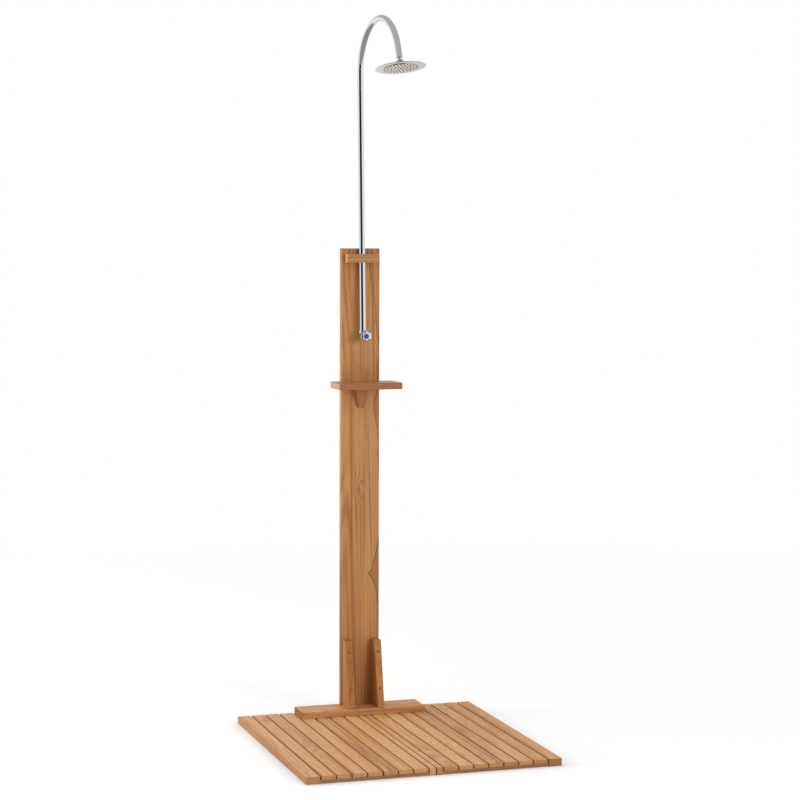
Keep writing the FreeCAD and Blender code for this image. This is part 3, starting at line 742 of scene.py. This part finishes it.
locknut = hexagon_grid(to_back, flats=0.032, low=0.023, high=0.030, bore=0.0121)
bonnet = hexagon_grid(to_front, flats=0.021, low=0.037, high=0.043, bore=0.0041)
surface_piece("inlet_locknut_brass", locknut, cast_brass, "base", "brass", "inlet_locknut")
surface_piece("bonnet_hexagon", bonnet, chrome, "base", "brass", "valve_bonnet")
spindle_profile = [(0.0, 0.021), (0.004, 0.021), (0.004, 0.0465), (0.0032, 0.0465),
                   (0.0032, 0.0595), (0.0, 0.0595)]
surface_piece("spindle_brass", lathe_grid(spindle_profile, to_front, 48), cast_brass,
              "knob", "brass", "valve_spindle")


# ---------------------------------------------------------------- knob and cap
# A cast, chromed knob with six round lobes and softened edges, and a dark blue
# plastic cap, lighter in its middle, snapped into its face.
knob_tip_radius = 0.0185


def knob_radii(angle):
    """The lobed outline: round lobes of 6 mm whose tips stand on the tip radius.

    Across each lobe the radius a is that of its circle seen from the centre, and
    between lobes it is held at the valley's radius b. A smooth maximum joins them:
    soft log(exp(a / soft) + exp(b / soft)), less a twentieth of soft.
    """
    lobe, valley, soft = 0.006, 0.0158, 0.0006
    reach = knob_tip_radius - lobe
    off = (angle + np.pi / 6) % (np.pi / 3) - np.pi / 6
    inside = np.clip(lobe ** 2 - (reach * np.sin(off)) ** 2, 0, None)
    circle = reach * np.cos(off) + np.sqrt(inside)
    joined = soft * np.log(np.exp(circle / soft) + np.exp(valley / soft)) - soft * 0.05
    return np.minimum(joined, knob_tip_radius)


def knob_grid(place, steps=240):
    """Rings of the outline: radius = share x outline + change, at each ring's level.

    The front's edge is a quarter ellipse, (cos a, sin a) from the side to the face.
    A lobe points straight up, so the outline's angle is counted from there.
    """
    low, high = 0.0465, 0.0625
    behind, across, down = 0.0014, 0.0062, 0.0042
    turns = np.linspace(0, np.pi / 2, 10)
    rings = [(0.0, 0.0040, low)]
    rings += [(1.0, -behind * (1 - math.sin(a)), low + behind * (1 - math.cos(a)))
              for a in turns]
    rings += [(1.0, -across * (1 - math.cos(a)), high - down * (1 - math.sin(a)))
              for a in turns]
    rings += [(0.0, 0.0078, high), (0.0, 0.0071, high - 0.0006), (0.0, 0.0071, high - 0.003),
              (0.0, 0.0, high - 0.003)]
    share, change, level = np.array(rings).T[..., None]
    outline = knob_radii(np.pi / 2 - np.linspace(0, 2 * np.pi, steps, endpoint=False))
    return round_grid(outline * share + change, level, place, steps)


surface_piece("valve_knob_chrome", knob_grid(to_front), chrome, "knob", "chrome", "valve_knob")
cap_edge = 0.0627


def cap_plastic():
    """Dark blue gloss plastic with a paler round middle and a fine moulded speckle."""
    material, tree, shader = start_material("cap_blue")
    place = add_node(tree, "TexCoord", {})["Object"]
    away = add_vector_math(tree, "DISTANCE", place, valve_axis - (0, cap_edge, 0))
    middle = add_range(tree, away, 0.0028, 0.0042, 1.0, 0.0)
    speckle = add_noise(tree, place, (900, 900, 900), 2.0)
    colour = add_mix(tree, middle, (0.010, 0.020, 0.080, 1), (0.035, 0.065, 0.20, 1))
    feed(shader, {"Base Color": colour, "Coat Weight": 0.4,
                  "Roughness": add_range(tree, speckle, 0.3, 0.7, 0.10, 0.2)})
    return material


cap_profile = [(0.0070, 0.0603), (0.0070, 0.0622), (0.0066, cap_edge)]
cap_profile += [(0.0062 * math.cos(a), cap_edge + 0.0004 * math.sin(a))
                for a in np.linspace(0, math.pi / 2, 8)]
surface_piece("index_cap_blue", lathe_grid(cap_profile, to_front), cap_plastic(),
              "knob", "blue_cap", "knob_index_cap")


# ---------------------------------------------------------------- swivel ring and nut
# A thin chromed ring loose on the neck, and the domed collar nut that holds the
# ball down into the head's spigot.
ring_profile = rounded([(0.00365, 0.0090), (0.0065, 0.0090), (0.0065, 0.0105),
                        (0.00365, 0.0105), (0.00365, 0.0090)], radius=0.0003, steps=3)
surface_piece("neck_ring", lathe_grid(ring_profile, arm_place), chrome,
              "swivel", "chrome", "swivel_ring")

tilt, turn = math.radians(10.7), math.radians(16.0)
head_place = aim(ball_centre, (-math.sin(tilt) * math.sin(turn), math.sin(tilt) * math.cos(turn),
                               math.cos(tilt)))
nut_profile = [(0.0091, -0.0072), (0.0098, -0.0072), (0.0100, -0.0070), (0.0100, 0.0016)]
nut_profile += [(0.0067 + 0.0033 * math.cos(a), 0.0016 + 0.0026 * math.sin(a))
                for a in np.linspace(0.1, math.pi / 2, 10)]
nut_profile += [(0.0060, 0.0042), (0.0056, 0.0039), (0.0056, 0.0026), (0.0091, 0.0026),
                (0.0091, -0.0072)]
surface_piece("collar_nut_chrome", lathe_grid(nut_profile, head_place),
              plated("nut_chrome", (0.36, 0.36, 0.37), base=0.12), "head", "chrome", "collar_nut")


# ---------------------------------------------------------------- shower head
# A thin round head, pressed and chromed: a shallow cone behind with a small hub, a
# fine upright edge, and a plain bright rim round the spray face below.
shell_profile = [(0.0, -0.0064), (0.0064, -0.0064), (0.0064, -0.0014), (0.0090, -0.0014),
                 (0.0090, -0.0078)]
shell_profile += [(0.010 + 0.0640 * t, -0.0078 - 0.0094 * t + 0.0006 * math.sin(math.pi * t))
                  for t in np.linspace(0, 1, 24)]
shell_profile += [(0.07475, -0.0178), (0.0750, -0.0184), (0.0748, -0.0191), (0.0742, -0.0195),
                  (0.053, -0.0195), (0.0, -0.0195)]
surface_piece("head_body_chrome", lathe_grid(shell_profile, head_place, 160),
              plated("head_chrome", (0.72, 0.71, 0.71), base=0.09), "head", "chrome", "head_shell")

# The spray face is a thin polished disc pierced for soft rubber nozzles, which
# stand a little proud of it in even rings. Its warm cream colour is a painted
# reflection of the teak tray.
face_profile = [(0.0, -0.0196), (0.053, -0.0196), (0.053, -0.0205), (0.0524, -0.0210),
                (0.0, -0.0210)]
surface_piece("spray_face_disc", lathe_grid(face_profile, head_place, 128),
              plated("face_steel_painted_reflection", (0.80, 0.73, 0.64), base=0.10), "head", "spray_face",
              "face_plate")


def soft_rubber():
    """Soft dark rubber with a fine dusty bloom."""
    material, tree, shader = start_material("nozzle_rubber")
    place = add_node(tree, "TexCoord", {})["Object"]
    bloom = add_noise(tree, place, (1500, 1500, 1500), 2.0)
    feed(shader, {"Base Color": add_mix(tree, add_range(tree, bloom, 0.45, 0.75),
                                        (0.05, 0.045, 0.04, 1), (0.09, 0.081, 0.072, 1)),
                  "Roughness": add_range(tree, bloom, 0.3, 0.7, 0.5, 0.75)})
    return material


def nozzle_field(rings, pitch, size=0.72, steps=10):
    """All nozzles as one mesh: a small tapered cup copied to 6n places on ring n."""
    cup = np.array([(0.0019, -0.0209), (0.0017, -0.0216), (0.0013, -0.0224), (0.0007, -0.0224),
                    (0.0006, -0.0219), (0.0, -0.0219)]) * (size, 1)
    centres = [(0.0, 0.0, 0.0)]
    for n in range(1, rings + 1):
        spread = np.arange(6 * n) * math.pi / (3 * n)
        centres += list(zip(n * pitch * np.cos(spread), n * pitch * np.sin(spread), 0 * spread))
    points = np.array(centres)[:, None, None] + lathe_grid(cup, Matrix(), steps)
    index = np.arange(points[..., 0].size).reshape(points.shape[:3])
    after = np.roll(index, -1, axis=2)
    quads = np.stack([index[:, :-1], index[:, 1:], after[:, 1:], after[:, :-1]], axis=-1)
    turn = np.array(head_place.to_3x3())
    return points.reshape(-1, 3) @ turn.T + np.array(head_place.translation), quads.reshape(-1, 4)


nozzles = add_mesh("rubber_nozzles", *nozzle_field(rings=5, pitch=0.0098), soft_rubber())
weld(nozzles.data, turn_out=False)
finish_piece(nozzles, "head", "nozzle_rubber", "spray_nozzles")


# ---------------------------------------------------------------- floor and light
# A pale seamless floor in an evenly white studio, with a soft box at the right front
# and a bigger one at the left. Three unlit cards that the camera doesn't see give the
# chrome a dark wall, a grey ground and a paler ground past the post to reflect.
def add_plane(name, corners, material):
    """A flat stage piece through four corners."""
    piece = add_mesh(name, corners, [(0, 1, 2, 3)], material)
    return piece


floor_paint, floor_tree, floor_shader = start_material("floor_paint")
feed(floor_shader, {"Base Color": (0.92, 0.92, 0.92, 1), "Roughness": 0.9,
                    "Specular IOR Level": 0.0})
# The paint fades into unlit white between 1.2 and 4.5 m out, so that no edge shows.
from_middle = add_vector_math(floor_tree, "LENGTH", add_node(floor_tree, "TexCoord", {})["Object"])
white = add_node(floor_tree, "Emission", {})[0]
faded = add_node(floor_tree, "MixShader", {0: add_range(floor_tree, from_middle, 1.2, 4.5),
                                           1: floor_shader.outputs[0], 2: white})
feed(floor_tree.nodes["Material Output"], {0: faded[0]})
add_plane("floor", [(-60, -60, 0), (60, -60, 0), (60, 60, 0), (-60, 60, 0)], floor_paint)

world = bpy.data.worlds.new("studio")
bpy.context.scene.world = world
world.use_nodes = True
sky = world.node_tree
sky.nodes.clear()
# Mirrored, the sky falls from white near the horizon to half as bright above.
up = add_node(sky, "SeparateXYZ", {0: add_node(sky, "TexCoord", {})["Generated"]})["Z"]
path = add_node(sky, "LightPath", {})
seen, lit, mirrored = (add_node(sky, "Background", {"Color": (1, 1, 1, 1), "Strength": level})[0]
                       for level in (1.0, 0.97, add_range(sky, up, 0.08, 0.5, 1.0, 0.52)))
clear = add_math(sky, "MAXIMUM", path["Is Camera Ray"], path["Is Transmission Ray"])
inner = add_node(sky, "MixShader", {0: path["Is Glossy Ray"], 1: lit, 2: mirrored})[0]
outer = add_node(sky, "MixShader", {0: clear, 1: inner, 2: seen})[0]
add_node(sky, "OutputWorld", {0: outer})


def add_lamp(name, place, target, size, power):
    """A square soft light that faces a target and shows in no reflection."""
    lamp = bpy.data.lights.new(name, "AREA")
    lamp.shape = "SQUARE"
    lamp.size = size
    lamp.energy = power
    piece = add_object(name, lamp)
    piece.location = place
    piece.rotation_euler = (Vector(target) - Vector(place)).to_track_quat("-Z", "Y").to_euler()
    piece.visible_glossy = False


add_lamp("key", place=(2.4, -5.6, 1.9), target=(0, 0.3, 1.0), size=1.4, power=95)
add_lamp("side", place=(-5.0, 1.6, 1.9), target=(0, 0.3, 1.2), size=2.4, power=130)


def unlit_gradient(name, centre, across, half, core, dark):
    """An unlit card: dark inside the core share of its half width, white at its sides."""
    material, tree, _ = start_material(name)
    tree.nodes.clear()
    place = add_node(tree, "TexCoord", {})["Object"]
    offset = add_vector_math(tree, "SUBTRACT", place, centre)
    aside = add_math(tree, "ABSOLUTE", add_vector_math(tree, "DOT_PRODUCT", offset, across))
    glow = add_range(tree, aside, half * core, half, dark, 1.0)
    add_node(tree, "OutputMaterial", {0: add_node(tree, "Emission", {"Strength": glow})[0]})
    return material


view_turn = math.radians(17.772)
ahead = Vector((math.sin(view_turn), math.cos(view_turn), 0))
right = Vector((math.cos(view_turn), -math.sin(view_turn), 0))
post_foot = Vector((0, 0.35, 0.02))
# Start and end along the view, place and half width across it, the dark core's share,
# how bright the core is, and how far the far edge rises.
cards = {"dark_wall": (-7.6, -7.6, -1.6, 7.5, 0.58, 0.02, 5.0),
         "grey_ground": (-7.6, 2.0, -1.6, 7.5, 0.5, 0.34, 0.0),
         "pale_ground": (2.0, 9.0, 0.62, 0.7, 0.2, 0.70, 0.0)}
for name, (start, end, side, half, core, dark, rise) in cards.items():
    centre = post_foot + right * side
    paint = unlit_gradient(name, centre, right, half, core, dark)
    near_edge, far_edge = ahead * start, ahead * end + Vector((0, 0, rise))
    card = add_plane(name, [centre - right * half + near_edge, centre + right * half + near_edge,
                            centre + right * half + far_edge, centre - right * half + far_edge],
                     paint)
    card.visible_camera = False
    card.visible_shadow = False
    # Of the three, only the wall also darkens matt surfaces.
    card.visible_diffuse = name == "dark_wall"


# ---------------------------------------------------------------- camera
# A long lens at eye height, six metres in front of the tray's middle and two to its
# left, turned to the right, tipped down and rolled by a fifth of a degree.
lens = bpy.data.cameras.new("view")
lens.lens = 99.81
lens.sensor_width = 36.0
lens.clip_end = 100
camera = add_object("view", lens)
pitch, roll = math.radians(-4.453), math.radians(0.191)
camera.matrix_world = (Matrix.Translation((-1.9491, -6.1331, 1.5167))
                       @ Matrix.Rotation(-view_turn, 4, "Z")
                       @ Matrix.Rotation(math.pi / 2 + pitch, 4, "X")
                       @ Matrix.Rotation(roll, 4, "Z"))
bpy.context.scene.camera = camera
bpy.context.scene.view_settings.view_transform = "Standard"
